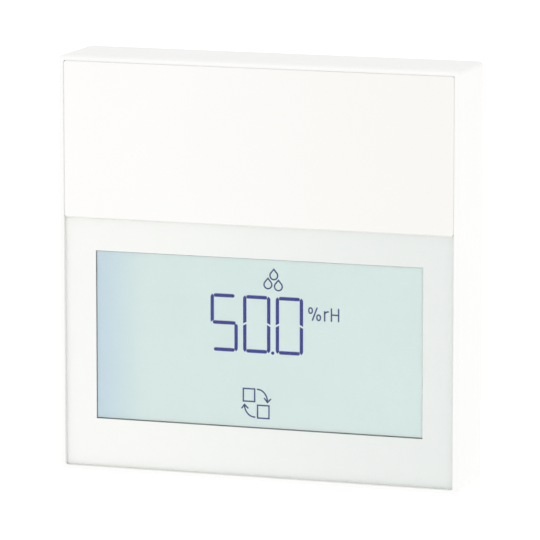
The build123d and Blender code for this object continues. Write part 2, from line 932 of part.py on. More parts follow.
def lcd_front_glass():
    """The front glass, whose lower edge overhangs to carry the contacts."""
    return slab(block(lcd_width, lcd_height, 0, lcd_centre), front_glass_back, front_glass_front)


def above_ledge(inset):
    """The field of the display above the contact ledge, drawn in by an inset."""
    height = lcd_height - contact_ledge - 2 * inset
    return block(lcd_width - 2 * inset, height, 0, lcd_centre + contact_ledge / 2)


def lcd_rear_glass():
    """The rear glass, shorter by the contact ledge."""
    return slab(above_ledge(0), rear_glass_back, front_glass_back)


def lcd_rear_polariser():
    """The polariser on the rear glass."""
    return slab(above_ledge(polariser_inset), rear_polariser_back, rear_glass_back)


def diffuser_film():
    """The film that evens out the backlight."""
    return slab(above_ledge(polariser_inset), diffuser_back, rear_polariser_back)


def light_guide_field():
    """The field of the light guide: above the ledge and clear of the lamps."""
    left = -lcd_width / 2 + led_strip_width + lcd_clearance
    right = lcd_width / 2
    height = lcd_height - contact_ledge
    return block(right - left, height, (left + right) / 2, lcd_centre + contact_ledge / 2)


def light_guide():
    """The clear plate that spreads the light of the lamps over the display."""
    guide = slab(light_guide_field(), light_guide_back, diffuser_back)
    lit_edge = guide.faces().sort_by(Axis.X)[0].edges().filter_by(Axis.Z)
    return chamfer(lit_edge, light_guide_thickness / 8)


def reflector_sheet():
    """The white sheet behind the light guide."""
    return slab(light_guide_field(), reflector_back, light_guide_back)


def led_strip():
    """The strip of lamps along the left edge of the light guide."""
    x = -lcd_width / 2 + led_strip_width / 2
    height = lcd_height - contact_ledge
    centre = lcd_centre + contact_ledge / 2
    strip_front = reflector_back + led_strip_thickness
    strip = slab(block(led_strip_width, height, x, centre), reflector_back, strip_front)
    lamp_pitch = height / led_count
    first = centre - (led_count - 1) / 2 * lamp_pitch
    lamps = [block(led_size, led_length, x, first + lamp * lamp_pitch) for lamp in range(led_count)]
    return strip + slab(joined(lamps), strip_front, strip_front + led_size)


def holder_peg_places():
    """The two pegs that locate the holder on the display board."""
    x = holder_width / 2 - holder_wall / 2
    return [(-x, lcd_centre), (x, lcd_centre)]


def lcd_holder():
    """The frame that carries display and backlight: pocket, floor, contact slot and pegs."""
    outer = rounded(holder_width, holder_height, holder_wall / 2, 0, lcd_centre)
    holder = slab(outer, display_board_front, wall_back)
    pocket = block(aperture_width, aperture_height, 0, lcd_centre)
    holder -= slab(pocket, reflector_back, wall_back)
    slot_width = strip_width() + 2 * strip_clearance
    slot_height = contact_strip_thickness + 2 * strip_clearance
    slot = block(slot_width, slot_height, 0, lcd_bottom + contact_ledge / 2)
    holder -= slab(slot, display_board_front, reflector_back)
    for x, z in holder_peg_places():
        peg = block(holder_peg_size, holder_peg_size, x, z)
        holder += slab(peg, display_board_back - holder_peg_proud, display_board_front)
    return holder


def strip_width():
    """The width of the contact strip, in step with the window."""
    return window_width - lcd_border


def contact_strip():
    """The elastomer strip that joins the board to the ledge of the front glass."""
    outline = block(strip_width(), contact_strip_thickness, 0, lcd_bottom + contact_ledge / 2)
    return slab(outline, display_board_front, front_glass_back)


def main():
    """Builds every sub-part and writes one file each."""
    parts = {
        "back_plate": back_plate(),
        "snap_arms": snap_arms(),
        "terminal_board": terminal_board(),
        "board_screws": board_screws(),
        "terminal_block": terminal_block(),
        "terminal_pins": terminal_pins(),
        "dip_switch_body": dip_switch_body(),
        "socket_header": socket_header(),
        "humidity_sensor": humidity_sensor(),
        "sensor_filter_cap": sensor_filter_cap(),
        "supply_capacitor": supply_capacitor(),
        "supply_inductor": supply_inductor(),
        "regulator": regulator(),
        "output_driver": output_driver(),
        "cover_shell": cover_shell(),
        "upper_panel": upper_panel(),
        "panel_adhesive": panel_adhesive(),
        "display_lens": display_lens(),
        "mask_film": mask_film(),
        "lens_adhesive": lens_adhesive(),
        "touch_film": touch_film(),
        "lcd_front_polariser": lcd_front_polariser(),
        "lcd_front_glass": lcd_front_glass(),
        "lcd_rear_glass": lcd_rear_glass(),
        "lcd_rear_polariser": lcd_rear_polariser(),
        "diffuser_film": diffuser_film(),
        "light_guide": light_guide(),
        "reflector_sheet": reflector_sheet(),
        "led_strip": led_strip(),
        "lcd_holder": lcd_holder(),
        "contact_strip": contact_strip(),
        "display_board": display_board(),
        "microcontroller": microcontroller(),
        "pin_header": pin_header(),
        "display_screws": display_screws(),
    }
    for number, x in enumerate(pole_centres(), start=1):
        parts[f"clamp_screw_{number}"] = clamp_screw(x)
        parts[f"clamp_cage_{number}"] = clamp_cage(x)
    for number, x in enumerate(slider_centres(), start=1):
        parts[f"dip_slider_{number}"] = dip_slider(x)
    os.makedirs("parts", exist_ok=True)
    for node, shape in parts.items():
        export_step(shape, f"parts/{node}.step")
    print(len(parts), "sub-parts written")


main()
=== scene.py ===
# %% [markdown]
# # Dressing a room humidity sensor
# The CAD model already has every moulded, stamped and screwed piece in its place. This script opens
# it as a fixed frame, puts the camera where the photographer stood, and gives each piece its
# finish. What is too fine for the CAD is worked out here with numpy: the lit figures of the
# display, the bead in the joints and a thin dark line of painted shade inside the window.

import math

import bmesh
import bpy
import numpy as np
from mathutils import Matrix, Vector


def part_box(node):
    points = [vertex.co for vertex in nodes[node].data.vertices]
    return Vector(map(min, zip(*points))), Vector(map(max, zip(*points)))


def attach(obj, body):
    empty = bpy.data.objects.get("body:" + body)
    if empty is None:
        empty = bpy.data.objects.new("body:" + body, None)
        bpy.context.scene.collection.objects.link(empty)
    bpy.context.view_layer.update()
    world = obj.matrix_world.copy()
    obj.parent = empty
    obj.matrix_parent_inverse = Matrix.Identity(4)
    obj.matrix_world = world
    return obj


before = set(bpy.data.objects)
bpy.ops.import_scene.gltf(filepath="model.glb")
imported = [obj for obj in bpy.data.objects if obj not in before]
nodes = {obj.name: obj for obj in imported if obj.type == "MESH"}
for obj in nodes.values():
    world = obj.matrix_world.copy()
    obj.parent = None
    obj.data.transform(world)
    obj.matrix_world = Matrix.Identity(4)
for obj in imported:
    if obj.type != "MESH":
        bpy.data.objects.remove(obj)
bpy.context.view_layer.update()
MM = 0.001
dressed = set()
print("nodes to dress:", len(nodes))

# %% [markdown]
# ## The camera
# A long lens a good metre away keeps the square housing almost free of perspective. The
# direction comes from the photograph: it was taken from the right and from a little above. A
# camera could be dragged until the edges match, but then nothing says where it stands. Here it
# sits on an arm instead: two angles and a distance from a point on the panels.

# %% Camera on its arm
camera_azimuth = math.radians(18.49)
camera_elevation = math.radians(9.38)
camera_distance = 1.2008
camera_view_angle = math.radians(6.045)
camera_aim = np.array([0.00333, -0.020, 0.00111])


def look_at(item, eye, aim):
    """Turns a camera or lamp: its own -Z runs from the eye to the aim, with world up kept up."""
    back = (eye - aim) / np.linalg.norm(eye - aim)
    right = np.cross([0.0, 0.0, 1.0], back)
    right /= np.linalg.norm(right)
    up = np.cross(back, right)
    matrix = np.identity(4)
    matrix[:3, 0], matrix[:3, 1], matrix[:3, 2], matrix[:3, 3] = right, up, back, eye
    item.matrix_world = Matrix(matrix.tolist())


def on_sphere(azimuth, elevation, distance, centre):
    """The point at an azimuth and elevation: distance times the unit vector of those angles."""
    unit = [
        math.sin(azimuth) * math.cos(elevation),
        -math.cos(azimuth) * math.cos(elevation),
        math.sin(elevation),
    ]
    return centre + distance * np.array(unit)


lens = bpy.data.cameras.new("photo_camera")
lens.angle = camera_view_angle
lens.clip_start = 0.05
camera = bpy.data.objects.new("photo_camera", lens)
bpy.context.scene.collection.objects.link(camera)
camera_eye = on_sphere(camera_azimuth, camera_elevation, camera_distance, camera_aim)
look_at(camera, camera_eye, camera_aim)
bpy.context.scene.camera = camera
bpy.context.scene.view_settings.view_transform = "Standard"
print("camera at", [round(v, 3) for v in camera.matrix_world.translation])

# %% [markdown]
# ## Finishes as arithmetic
# A material is a small graph of nodes. Wiring each node by hand hides the idea, so a socket is
# wrapped in a class whose operators add the Math nodes: `1 - grain * 0.2` reads as it is meant.
# Every other node comes from one method that takes its kind, its settings and its sockets.


# %% Signals
class Signal:
    """One value that travels through a finish. Its operators add the Math node they name."""

    def __init__(self, finish, socket):
        self.finish, self.socket = finish, socket

    def _math(self, operation, first, second):
        return self.finish.node("Math", {"operation": operation}, {0: first, 1: second})

    def __add__(self, other):
        return self._math("ADD", self, other)

    def __sub__(self, other):
        return self._math("SUBTRACT", self, other)

    def __rsub__(self, other):
        return self._math("SUBTRACT", other, self)

    def __mul__(self, other):
        return self._math("MULTIPLY", self, other)

    def __truediv__(self, other):
        return self._math("DIVIDE", self, other)

    def __gt__(self, other):
        return self._math("GREATER_THAN", self, other)

    def __lt__(self, other):
        return self._math("LESS_THAN", self, other)

    __radd__ = __add__
    __rmul__ = __mul__

    def above(self, other):
        """The larger of two values."""
        return self._math("MAXIMUM", self, other)

    def absolute(self):
        """The value without its sign."""
        return self._math("ABSOLUTE", self, 0.0)

    def floor(self):
        """The whole number just below the value."""
        return self._math("FLOOR", self, 0.0)

    def away_from(self, other):
        """The distance of this value from another."""
        return (self - other).absolute()

    def ramp(self, low, high, to_low=0.0, to_high=1.0):
        """A smooth step from one value to another as this one goes from low to high."""
        ends = {0: self, 1: low, 2: high, 3: to_low, 4: to_high}
        return self.finish.node("MapRange", {"interpolation_type": "SMOOTHSTEP"}, ends)


print("signals know", [name for name in vars(Signal) if not name.startswith("_")])


# %% Finishes
class Finish:
    """A material with one Principled shader, whose plain numbers are set on its own sockets."""

    def __init__(self, name, **numbers):
        self.material = bpy.data.materials.new(name)
        self.material.use_nodes = True
        self.tree = self.material.node_tree
        self.shader = self.tree.nodes["Principled BSDF"]
        self.out = self.tree.nodes["Material Output"]
        self.set(**numbers)

    def set(self, **numbers):
        """Sets plain numbers or colours on the shader: base_color becomes Base Color, and so on."""
        titles = {"specular": "Specular IOR Level"}
        for key, value in numbers.items():
            title = titles.get(key, key.replace("_", " ").title())
            colour = isinstance(value, (tuple, list)) and len(value) == 3
            self.shader.inputs[title].default_value = (*value, 1.0) if colour else value
        return self

    def node(self, kind, settings=None, sockets=None, output=0):
        """Adds one node: its kind, its settings, then numbers or signals for its sockets."""
        node = self.tree.nodes.new("ShaderNode" + kind)
        for key, value in (settings or {}).items():
            setattr(node, key, value)
        for key, value in (sockets or {}).items():
            if isinstance(value, Signal):
                self.tree.links.new(value.socket, node.inputs[key])
            else:
                node.inputs[key].default_value = value
        return Signal(self, node.outputs[output])

    def feed(self, title, signal):
        """Joins a signal to a socket of the shader."""
        self.tree.links.new(signal.socket, self.shader.inputs[title])
        return self

    def fed(self, title):
        """The signal that already feeds a socket of the shader."""
        return Signal(self, self.shader.inputs[title].links[0].from_socket)

    def place(self):
        """The point on the piece, in metres of the shared frame."""
        return self.node("TexCoord", output=3)

    def axis(self, letter):
        """One coordinate of a point: x to the right, y into the wall, z up."""
        return self.node("SeparateXYZ", None, {0: self.place()}, output="xyz".index(letter))

    def noise(self, size, detail=2.0, stretch=(1, 1, 1)):
        """Cloudy noise whose blobs are about this size in metres, between 0 and 1."""
        scale = [s / size for s in stretch]
        vector = self.node("Mapping", None, {"Vector": self.place(), "Scale": scale})
        return self.node("TexNoise", None, {"Vector": vector, "Scale": 1.0, "Detail": detail})

    def mix(self, share, first, second):
        """A colour that goes from the first to the second as share goes from 0 to 1."""
        colours = [c if isinstance(c, Signal) else (*c, 1.0) for c in (first, second)]
        sockets = {0: share, 6: colours[0], 7: colours[1]}
        return self.node("Mix", {"data_type": "RGBA"}, sockets, output=2)

    def bump(self, height, depth):
        """Relief: a height between 0 and 1 raised to a depth in metres."""
        relief = {"Height": height, "Strength": 1.0, "Distance": depth}
        self.feed("Normal", self.node("Bump", None, relief))
        return self


def srgb(red, green, blue):
    """A colour given in 0 to 255 as a screen shows it, turned into linear light: a share of the
    value where it is dark, and a power of it elsewhere."""
    c = np.array([red, green, blue]) / 255
    return tuple(np.where(c <= 0.04045, c / 12.92, ((c + 0.055) / 1.055) ** 2.4).tolist())


def shade(colour, share):
    """A darker colour: each channel times the share."""
    return tuple(c * share for c in colour)


def wear(node, finish):
    """Gives a CAD node one finish on all its slots."""
    mesh = nodes[node].data
    if not mesh.materials:
        mesh.materials.append(finish.material)
    for number in range(len(mesh.materials)):
        mesh.materials[number] = finish.material
    dressed.add(node)


print("a mid grey on a screen is", round(srgb(128, 128, 128)[0], 3), "in linear light")

# %% [markdown]
# ## Stage and light
# The photograph is a high-key product shot: white all round, with hardly a shadow. A pale floor
# well below the object and an even white sky do that. Three large soft lamps then model the
# form: the key from the left makes the left of the front a little brighter than the right.

# %% Floor, sky and lamps
white = (1.0, 1.0, 1.0)
lamp_power = 0.4
floor_level, floor_reach = -0.26, 8.0


def soft_lamp(name, azimuth, elevation, distance, width):
    """A square soft box on a sphere round the object, facing its middle."""
    light = bpy.data.lights.new(name, "AREA")
    light.shape, light.size, light.energy = "SQUARE", width, lamp_power
    lamp = bpy.data.objects.new(name, light)
    bpy.context.scene.collection.objects.link(lamp)
    eye = on_sphere(math.radians(azimuth), math.radians(elevation), distance, camera_aim)
    look_at(lamp, eye, camera_aim)


sky = bpy.data.worlds.new("studio_sky")
sky.use_nodes = True
background = sky.node_tree.nodes["Background"]
background.inputs["Color"].default_value = (*white, 1.0)
background.inputs["Strength"].default_value = 1.0
bpy.context.scene.world = sky

soft_lamp("key_lamp", azimuth=-48, elevation=22, distance=0.9, width=0.7)
soft_lamp("side_lamp", azimuth=82, elevation=25, distance=1.1, width=0.7)
soft_lamp("top_lamp", azimuth=10, elevation=78, distance=1.1, width=0.8)

sides = [(-1, -1), (1, -1), (1, 1), (-1, 1)]
floor_corners = [(x * floor_reach, y * floor_reach, floor_level) for x, y in sides]
floor_mesh = bpy.data.meshes.new("studio_floor")
floor_mesh.from_pydata(floor_corners, [], [(0, 1, 2, 3)])
floor = bpy.data.objects.new("studio_floor", floor_mesh)
bpy.context.scene.collection.objects.link(floor)
floor_finish = Finish("floor_paper", base_color=(0.9, 0.9, 0.9), roughness=0.9, specular=0.1)
floor_finish.set(emission_color=white, emission_strength=0.3)
floor_mesh.materials.append(floor_finish.material)
print("lamps:", len(bpy.data.lights), "floor at", floor_level, "m")

# %% [markdown]
# ## Shapes from numpy
# Every piece that is added here is a flat stroke carried along a path: a segment of a digit, a
# line of a symbol, a bead in a joint. Its points are worked out as a whole grid, one row for
# each step of the path and one column for each corner of the section. A curve with a bevel
# could draw the same strokes, but its section would be round, and its corners wouldn't mitre.

# %% Grids and ribbons
end_steps = 6
crisp_angle = math.radians(35)


def grid_faces(rows, columns, around):
    """Quads between the neighbours of a grid; the columns close on themselves if around is set."""
    run = np.arange(columns - (not around))
    row, column = np.meshgrid(np.arange(rows - 1), run, indexing="ij")
    after = (column + 1) % columns
    here, next_row = row * columns, (row + 1) * columns
    corners = [here + column, here + after, next_row + after, next_row + column]
    return np.stack([c.ravel() for c in corners], axis=1).tolist()


def tube(grid):
    """A grid whose columns run round a closed section, with flat caps on its end rows."""
    rows, columns = grid.shape[:2]
    faces = grid_faces(rows, columns, True)
    last = (rows - 1) * columns
    faces.append(list(range(columns))[::-1])
    faces.append(list(range(last, last + columns)))
    return grid.reshape(-1, 3), faces


def ribbon(path, width, back, front, closed=False, round_ends=True, skew=(0.0, 0.0)):
    """A flat stroke between two depths: each path point plus and minus half a width along the
    mitred normal. A round end adds points whose half width is the cosine, and whose reach is
    the sine, of one angle. A skew slides the two corners of an end apart, so it is cut aslant."""
    path = np.asarray(path, float)
    steps = np.roll(path, -1, axis=0) - path
    steps /= np.linalg.norm(steps, axis=1, keepdims=True)
    normals = np.stack([-steps[:, 1], steps[:, 0]], axis=1)
    if not closed:
        steps[-1], normals[-1] = steps[-2], normals[-2]
    before = np.roll(normals, 1, axis=0)
    if not closed:
        before[0] = normals[0]
    mitre = before + normals
    mitre /= np.sum(mitre * normals, axis=1, keepdims=True)
    half = np.full(len(path), width / 2)
    if not closed and round_ends:
        angle = np.linspace(0, math.pi / 2, end_steps + 1)[1:]
        reach, thin = np.sin(angle)[:, None] * width / 2, np.cos(angle) * width / 2
        first, last = (path[0] - steps[0] * reach)[::-1], path[-1] + steps[-1] * reach
        path = np.concatenate([first, path, last])
        longer = [end_steps + 1] + [1] * (len(mitre) - 2) + [end_steps + 1]
        mitre, steps = np.repeat(mitre, longer, 0), np.repeat(steps, longer, 0)
        half = np.concatenate([thin[::-1], half, thin])
    slide = np.zeros(len(path))
    slide[0], slide[-1] = skew
    left = path + mitre * half[:, None] + steps * slide[:, None]
    right = path - mitre * half[:, None] - steps * slide[:, None]
    section = []
    for side, depth in ((left, back), (right, back), (right, front), (left, front)):
        section.append(np.stack([side[:, 0], np.full(len(side), -depth), side[:, 1]], axis=1))
    grid = np.stack(section, axis=1) * MM
    if closed:
        grid = np.concatenate([grid, grid[:1]])
        return grid.reshape(-1, 3), grid_faces(*grid.shape[:2], True)
    return tube(grid)


sample_points, sample_faces = ribbon([(0, 0), (1, 0)], 0.2, 0, 0.1)
print("a straight stroke has", len(sample_points), "points and", len(sample_faces), "faces")


# %% From grids to a piece
def weld(mesh):
    """Merges points that meet and turns every face outwards."""
    work = bmesh.new()
    work.from_mesh(mesh)
    bmesh.ops.remove_doubles(work, verts=work.verts, dist=1e-7)
    bmesh.ops.dissolve_degenerate(work, edges=work.edges, dist=1e-8)
    bmesh.ops.recalc_face_normals(work, faces=work.faces)
    work.to_mesh(mesh)
    work.free()


def piece(name, shapes, finish, body):
    """Joins grids into one mesh, welds it, keeps its edges crisp and hands it to the frame."""
    points, faces, start = [], [], 0
    for shape_points, shape_faces in shapes:
        points.append(shape_points)
        faces += [[corner + start for corner in face] for face in shape_faces]
        start += len(shape_points)
    mesh = bpy.data.meshes.new(name)
    mesh.from_pydata(np.concatenate(points).tolist(), [], faces)
    mesh.materials.append(finish.material)
    item = bpy.data.objects.new(name, mesh)
    bpy.context.scene.collection.objects.link(item)
    weld(mesh)
    mesh.polygons.foreach_set("use_smooth", np.ones(len(mesh.polygons), bool))
    mesh.set_sharp_from_angle(angle=crisp_angle)
    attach(item, body)
    print(name, len(mesh.polygons), "faces")


# %% [markdown]
# ## White mouldings
# The housing and the panels are moulded in white plastic. White plastic is never one white: the
# tool leaves a fine spark-eroded grain, and the wall thickness shows as faint clouds. Both are
# noise on the piece's own coordinates, so they need no picture and stay put when a piece moves.
# On the two panels the white also cools a little from the left edge to the right, as the light
# falls off. That change goes into the colour, because no lamp could make it on them alone.

# %% White plastics
cloud_size, panel_half_width = 0.03, 0.048


def moulding(name, colour, grain_size, grain_depth, roughness, clouds=0.02, far=None):
    """Moulded plastic: fine grain in the relief, slow clouds in the colour and the roughness. With
    a second colour, the first one changes into it from the left edge to the right edge, as painted
    light."""
    finish = Finish(name, specular=0.45)
    cloud = finish.noise(cloud_size, detail=3.0)
    mixed = finish.mix(cloud, shade(colour, 1 - 2 * clouds), colour)
    if far:
        painted_falloff = finish.axis("x").ramp(-panel_half_width, panel_half_width)
        mixed = finish.mix(painted_falloff, mixed, far)
    finish.feed("Base Color", mixed)
    grain = finish.noise(grain_size)
    finish.feed("Roughness", cloud * 0.08 + (grain * 0.06 + roughness))
    return finish.bump(grain, grain_depth)


housing_white = moulding("housing_white", (0.865, 0.862, 0.85), 0.0006, 0.000012, 0.42)
plate_white = moulding("plate_white", (0.80, 0.80, 0.78), 0.0009, 0.00002, 0.5)
holder_white = moulding("holder_white", (0.82, 0.82, 0.80), 0.0007, 0.00001, 0.45)
# The second colours are painted light: fall-off on the upper panel, a painted reflection on the
# print under the clear panel.
panel_white = moulding(
    "panel_white", (0.868, 0.862, 0.85), 0.0004, 0.000004, 0.34, far=(0.82, 0.808, 0.785)
)
mask_white = moulding(
    "mask_white", (0.86, 0.85, 0.83), 0.0005, 0.000001, 0.3, clouds=0.004, far=(0.745, 0.757, 0.745)
)
wear("cover_shell", housing_white)
wear("upper_panel", panel_white)
wear("mask_film", mask_white)
wear("lcd_holder", holder_white)
wear("back_plate", plate_white)
wear("snap_arms", plate_white)
print("white pieces:", len(dressed))

# %% [markdown]
# ## Clear pieces
# The lower panel is clear acrylic over a white print. A thin clear sheet sends back about four
# hundredths of the light that meets it head on, and more at a slant. A glass shader would bend
# every ray and leave the print behind in its own shadow, so the sheet is a Fresnel share of
# gloss over a see-through surface, and the lamps reach the print.


# %% Clear finishes
def clear_sheet(name, roughness, tint, bend):
    """A Fresnel share of gloss over a see-through surface; faint smears vary the roughness.
    The share counts on outer faces only: on inner ones it would turn the sheet grey."""
    finish = Finish(name)
    finish.tree.nodes.remove(finish.shader)
    smear = finish.noise(0.02, detail=3.0)
    sheen = {"Color": (*white, 1), "Roughness": smear * 0.03 + roughness}
    shine = finish.node("BsdfAnisotropic", None, sheen)
    through = finish.node("BsdfTransparent", None, {"Color": (*tint, 1)})
    inner_side = finish.node("NewGeometry", output="Backfacing")
    share = finish.node("Fresnel", None, {"IOR": bend}) * (1 - inner_side)
    surface = finish.node("MixShader", None, {0: share, 1: through, 2: shine})
    finish.tree.links.new(surface.socket, finish.out.inputs["Surface"])
    return finish


acrylic_bend, bonded_film_bend = 1.49, 1.2
lens_clear = clear_sheet("lens_clear", 0.06, (0.995, 1.0, 0.998), acrylic_bend)
film_clear = clear_sheet("film_clear", 0.08, (0.985, 0.995, 0.99), bonded_film_bend)
wear("display_lens", lens_clear)
wear("touch_film", film_clear)
print("head on, the panel sends back", round(((acrylic_bend - 1) / (acrylic_bend + 1)) ** 2, 3))

# %% [markdown]
# ## The lit display
# A segment display is a sandwich: glass and polarisers in front of a light guide. Lit from its left
# edge, the field is a pale green-blue; a darker, bluer strip along that edge is painted shade, put
# into its colour and its glow. Light could be sent through the whole sandwich, but that is slow and
# noisy. The front polariser carries the colour and glows with it instead, because it is what the
# eye meets; the layers behind it are still finished for what they are, and show when the piece is
# taken apart.

# %% Lit field
field_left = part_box("lcd_front_polariser")[0].x
edge_shade_reach = 0.015


def lit_field():
    """Pale green-blue that turns darker and bluer towards the left edge: painted shade."""
    finish = Finish("lit_field", roughness=0.35, specular=0.3)
    # Darker and bluer along the left edge of the field: painted shade.
    painted_edge_shade = finish.axis("x").ramp(field_left, field_left + edge_shade_reach, 1.0, 0.0)
    cloud = finish.noise(0.012)
    green_blue = finish.mix(cloud, srgb(206, 218, 217), srgb(210, 221, 220))
    colour = finish.mix(painted_edge_shade, green_blue, srgb(190, 206, 218))
    finish.feed("Base Color", colour).feed("Emission Color", colour)
    return finish.set(emission_strength=0.25)


wear("lcd_front_polariser", lit_field())
print("the lit field starts at x =", round(field_left / MM, 2), "mm")


# %% Layers behind the field
def layered(name, colour, alpha, roughness):
    """A layer inside the display: a faint tint, see-through by its alpha, with faint haze."""
    finish = Finish(name, specular=0.4)
    haze = finish.noise(0.008)
    finish.feed("Base Color", finish.mix(haze, shade(colour, 0.96), colour))
    finish.feed("Roughness", haze * 0.05 + roughness)
    finish.feed("Alpha", haze * 0.04 + alpha)
    return finish


cell_glass = layered("cell_glass", (0.80, 0.90, 0.88), alpha=0.35, roughness=0.04)
polariser_grey = layered("polariser_grey", (0.35, 0.38, 0.36), alpha=0.8, roughness=0.2)
diffuser_satin = layered("diffuser_satin", (0.90, 0.93, 0.93), alpha=0.9, roughness=0.5)
guide_clear = layered("guide_clear", (0.93, 0.98, 0.98), alpha=0.35, roughness=0.05)
reflector_white = moulding("reflector_white", (0.92, 0.92, 0.92), 0.0004, 0.000002, 0.25)
wear("lcd_front_glass", cell_glass)
wear("lcd_rear_glass", cell_glass)
wear("lcd_rear_polariser", polariser_grey)
wear("diffuser_film", diffuser_satin)
wear("light_guide", guide_clear)
wear("reflector_sheet", reflector_white)
print("dressed so far:", len(dressed))

# %% [markdown]
# ## The reading
# The reading and its symbols are areas that the display turns dark blue. Each could be a mask in
# the polariser's finish, but a mask of so many thin lines would be a large graph that blurs when
# it is baked. So each is a real plate, a few hundredths of a millimetre thick, just in front of
# the polariser.

# %% Colours and depth of the symbols
polariser_front = -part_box("lcd_front_polariser")[0].y / MM
symbol_back, symbol_front = polariser_front + 0.01, polariser_front + 0.045


def printed(name, colour):
    """A darkened area of the display: nearly even, with faint mottling."""
    finish = Finish(name, roughness=0.5, specular=0.2)
    mottle = finish.noise(0.0008)
    finish.feed("Base Color", finish.mix(mottle, shade(colour, 0.9), colour))
    return finish


digit_blue = printed("digit_blue", srgb(26, 36, 148))
symbol_blue = printed("symbol_blue", srgb(46, 64, 132))
print("symbols lie at depth", round(symbol_back, 3), "mm")

# %% [markdown]
# ## Seven segments
# A digit of such a display is one rounded track, cut into seven segments by narrow gaps. So a
# segment is a stretch of that track: a level run, or an upright run with the corner it turns
# into. The cuts beside the middle are aslant, as on the real glass. All sizes are in
# millimetres, read off the photograph through the camera.

# %% Digits
digit_width, digit_height, digit_pitch = 5.95, 12.95, 8.11
digit_left, digit_low = -11.5, -18.75
digit_stroke = 0.82
track_radius, segment_gap = 0.55, 0.24
corner_turn, end_slant = 62, 0.22
dot_x, dot_z, dot_width, dot_half = 3.56, -18.95, 0.78, 0.01


def arc(x, z, radius, start, end, steps=8):
    """Points on a circle between two angles in degrees."""
    angle = np.radians(np.linspace(start, end, steps))
    return np.stack([x + radius * np.cos(angle), z + radius * np.sin(angle)], axis=1)


def segments_of(left, low, names):
    """The lit segments of one digit, named a to g as on any seven-segment display.
    Each is a straight run of the digit's track with the round corner that belongs to it."""
    right, high, waist = left + digit_width, low + digit_height, low + digit_height / 2
    r, g, turn = track_radius, segment_gap, corner_turn
    runs = {
        "a": [(left + r + g, high), (right - r - g, high)],
        "d": [(left + r + g, low), (right - r - g, low)],
        "g": [(left + r, waist), (right - r, waist)],
        "b": np.concatenate([arc(right - r, high - r, r, turn, 0), [(right, waist + g)]]),
        "c": np.concatenate([[(right, waist - g)], arc(right - r, low + r, r, 0, -turn)]),
        "f": np.concatenate([arc(left + r, high - r, r, 180 - turn, 180), [(left, waist + g)]]),
        "e": np.concatenate([[(left, waist - g)], arc(left + r, low + r, r, 180, 180 + turn)]),
    }
    cut = end_slant
    skews = {"b": (0, cut), "c": (cut, 0), "f": (0, -cut), "e": (-cut, 0)}
    strokes = []
    for name in names:
        style = {"round_ends": name in "adg", "skew": skews.get(name, (0, 0))}
        strokes.append(ribbon(runs[name], digit_stroke, symbol_back, symbol_front, **style))
    return strokes


reading = segments_of(digit_left, digit_low, "afgcd")
for place in (1, 2):
    reading += segments_of(digit_left + place * digit_pitch, digit_low, "abcdef")
dot_path = [(dot_x - dot_half, dot_z), (dot_x + dot_half, dot_z)]
reading.append(ribbon(dot_path, dot_width, symbol_back, symbol_front))
piece("reading_digits", reading, digit_blue, "front_cover")

# %% [markdown]
# ## Unit and symbols
# The unit, the drops above the reading and the exchange symbol below it are thin lines of one
# width. Each is a path of a few points or arcs, in millimetres on the front, and one function
# carries the stroke along all of them.

# %% Strokes and drops
symbol_stroke = 0.34
# Each drop: x, then the heights of its tip, of its circle's centre and of its lowest point.
drop_places = [(3.83, 1.1, -0.42, -1.38), (2.37, -1.12, -2.64, -3.6), (4.96, -1.47, -2.99, -3.95)]


def stroke(path, closed=False):
    """A thin line of the display's symbols."""
    return ribbon(path, symbol_stroke, symbol_back, symbol_front, closed=closed)


def drop(x, tip, centre, low):
    """A water drop: two tangents from its tip to a circle, and the circle's arc below them."""
    radius = centre - low
    spread = math.degrees(math.acos(radius / (tip - centre)))
    round_part = arc(x, centre, radius, 90 + spread, 450 - spread, 28)
    return stroke(np.concatenate([[(x, tip)], round_part]), closed=True)


def box_path(left, top, right, low):
    """The four corners of an upright rectangle, in order."""
    return [(left, top), (right, top), (right, low), (left, low)]


# %% Unit mark
unit_low, unit_high = -10.5, -7.6
unit_middle = (unit_low + unit_high) / 2
percent_ring = arc(0.0, 0.0, 1.0, 0, 360, 25)[:-1] * [0.45, 0.66]
upper_ring_at, lower_ring_at = [12.92, -8.26], [14.92, -9.86]
slash_low, slash_high = 13.4, 14.5
r_left, r_stem, r_rise, r_shoulder_radius = 16.4, 2.15, 1.35, 0.8
h_left, h_right = 18.08, 19.84
r_shoulder = arc(r_left + r_shoulder_radius, unit_low + r_rise, r_shoulder_radius, 170, 85, 10)
unit_strokes = [
    stroke(percent_ring + upper_ring_at, closed=True),
    stroke(percent_ring + lower_ring_at, closed=True),
    stroke([(slash_low, unit_low), (slash_high, unit_high)]),
    stroke([(r_left, unit_low), (r_left, unit_low + r_stem)]),
    stroke(r_shoulder),
    stroke([(h_left, unit_low), (h_left, unit_high)]),
    stroke([(h_right, unit_low), (h_right, unit_high)]),
    stroke([(h_left, unit_middle), (h_right, unit_middle)]),
]
piece("unit_mark", unit_strokes, symbol_blue, "front_cover")

# %% Drops and exchange symbol
drops = [drop(*place) for place in drop_places]
piece("humidity_drops", drops, symbol_blue, "front_cover")
quarter = arc(0.0, 0.0, 1.0, 0, 90, 14)
upper_square = box_path(-3.76, -27.82, -0.94, -30.85)
lower_square = box_path(-0.22, -31.67, 2.63, -34.74)
down_arrow = quarter * [2.5, 2.95] + [-0.25, -30.8]
down_head = [(1.5, -29.95), (2.26, -30.86), (3.05, -30.05)]
up_arrow = quarter * [-2.57, -2.85] + [-0.9, -31.74]
up_head = [(-4.12, -32.55), (-3.47, -31.68), (-2.62, -32.5)]
exchange = [stroke(square, closed=True) for square in (upper_square, lower_square)]
exchange += [stroke(path) for path in (down_arrow, down_head, up_arrow, up_head)]
piece("exchange_symbol", exchange, symbol_blue, "front_cover")
